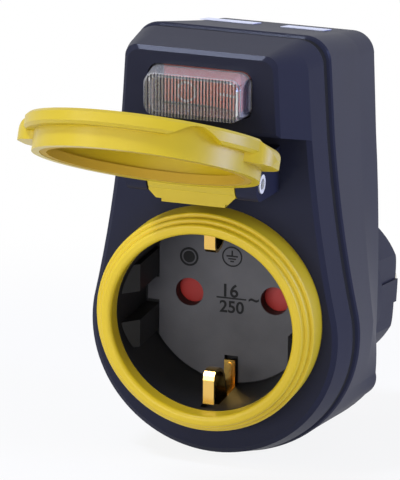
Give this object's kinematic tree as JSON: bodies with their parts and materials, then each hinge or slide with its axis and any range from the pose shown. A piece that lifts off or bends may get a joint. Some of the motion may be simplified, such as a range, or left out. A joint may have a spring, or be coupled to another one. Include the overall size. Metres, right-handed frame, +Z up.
{
  "type": "outdoor socket with switch",
  "caption": "Plug-in earthed socket for damp places, with a long neck, a hinged lid over a round ringed socket, and a rocker switch under a clear ribbed boot.",
  "frame": {"origin": "midway between the two plug pins, on the plug's front face", "axes": "+X right seen from the socket's front, +Y the way the plug goes into the wall, +Z up"},
  "size_m": [0.0576, 0.1767, 0.0923],
  "materials": {
    "black_pp": "fine moulded texture",
    "black_rubber": "matte",
    "zinc_steel": "zinc plated",
    "blank_label": "satin film",
    "nickel_brass": "nickel plated",
    "grey_insulator": "satin moulded",
    "brass_strip": "bright stamped",
    "yellow_pp": "satin moulded",
    "yellow_seal": "matte",
    "red_pom": "satin",
    "red_rocker": "polished, translucent",
    "spring_steel": "plain",
    "clear_boot": "clear ribbed soft plastic",
    "lamp_glass": "clear",
    "white_pom": "satin",
    "wire_cover": "satin"
  },
  "bodies": {
    "housing": {"front_shell": "black_pp", "rear_shell": "black_pp", "housing_gasket": "black_rubber", "housing_screws": "zinc_steel", "top_labels": "blank_label", "plug_pins": "nickel_brass", "pin_retainer": "grey_insulator", "plug_earth_strap": "brass_strip", "socket_ring": "yellow_pp", "socket_well": "grey_insulator", "earth_clips": "brass_strip", "shutter_cover": "grey_insulator", "contact_carrier": "grey_insulator", "neutral_bar": "brass_strip", "earth_lead": "brass_strip", "hinge_pin": "zinc_steel", "rocker_boot": "clear_boot", "switch_frame": "grey_insulator", "switch_body": "grey_insulator", "load_terminal": "brass_strip", "supply_terminal": "brass_strip", "lamp_terminal": "brass_strip", "neon_lamp": "lamp_glass", "lamp_resistor": "white_pom", "lamp_leads": "nickel_brass", "supply_wire": "wire_cover", "load_wire": "wire_cover", "lamp_wire": "wire_cover", "live_contact": "brass_strip", "neutral_contact": "brass_strip"},
    "lid": {"lid": "yellow_pp", "lid_seal": "yellow_seal"},
    "rocker": {"rocker": "red_rocker", "switch_plunger": "white_pom"},
    "blade": {"moving_contact": "brass_strip"},
    "shutter": {"shutter": "red_pom", "shutter_spring": "spring_steel"}
  },
  "joints": [
    {"name": "lid_hinge", "type": "hinge", "parent": "housing", "child": "lid", "pos_m": [0, -0.10124, 0.03489], "axis": [1, 0, 0], "range_deg": [0, 115]},
    {"name": "rocker_tilt", "type": "hinge", "parent": "housing", "child": "rocker", "pos_m": [0, -0.09556, 0.05396], "axis": [0, -0.1736, 0.9848], "range_deg": [0, 18]},
    {"name": "blade_tilt", "type": "hinge", "parent": "housing", "child": "blade", "pos_m": [0, -0.08729, 0.05542], "axis": [0, -0.1736, 0.9848], "range_deg": [-14, 0]},
    {"name": "shutter_turn", "type": "hinge", "parent": "housing", "child": "shutter", "pos_m": [0, -0.06752, 0.00661], "axis": [0, 0.9848, 0.1736], "range_deg": [0, 45], "stiffness_Nm_per_rad": 0.002}
  ],
  "couplings": [
    {"joint": "blade_tilt", "follows": "rocker_tilt", "ratio": -0.77778}
  ]
}
